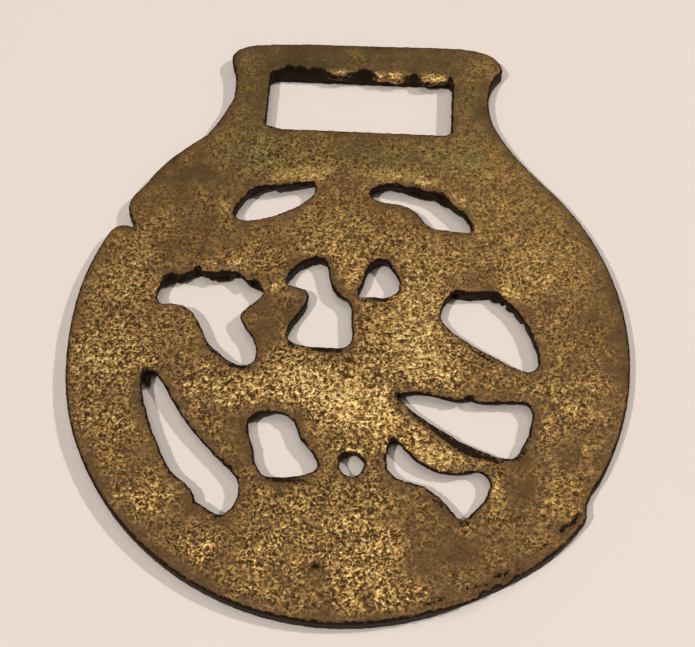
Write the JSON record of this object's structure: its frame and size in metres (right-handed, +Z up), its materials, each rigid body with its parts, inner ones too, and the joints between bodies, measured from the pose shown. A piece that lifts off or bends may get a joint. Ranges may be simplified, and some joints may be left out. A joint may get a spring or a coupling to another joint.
{
  "type": "horse brass",
  "caption": "Flat cast horse brass with a round pierced body, sloping shoulders and a flared hanger with a rectangular strap slot.",
  "frame": {"origin": "under the middle of the casting's bounding box, on the plane that it lies on", "axes": "+Z up out of the rough back, which is the upper side as it lies; +Y from the round body to the hanger; +X to the right, seen on the back with the hanger up"},
  "size_m": [0.0758, 0.0892, 0.0031],
  "materials": {
    "brass": "rough sand-cast brass, tarnished brown, with rubbed golden speckle and dark, sooty opening walls"
  },
  "bodies": {
    "root": {"brass_casting": "brass"}
  },
  "joints": []
}
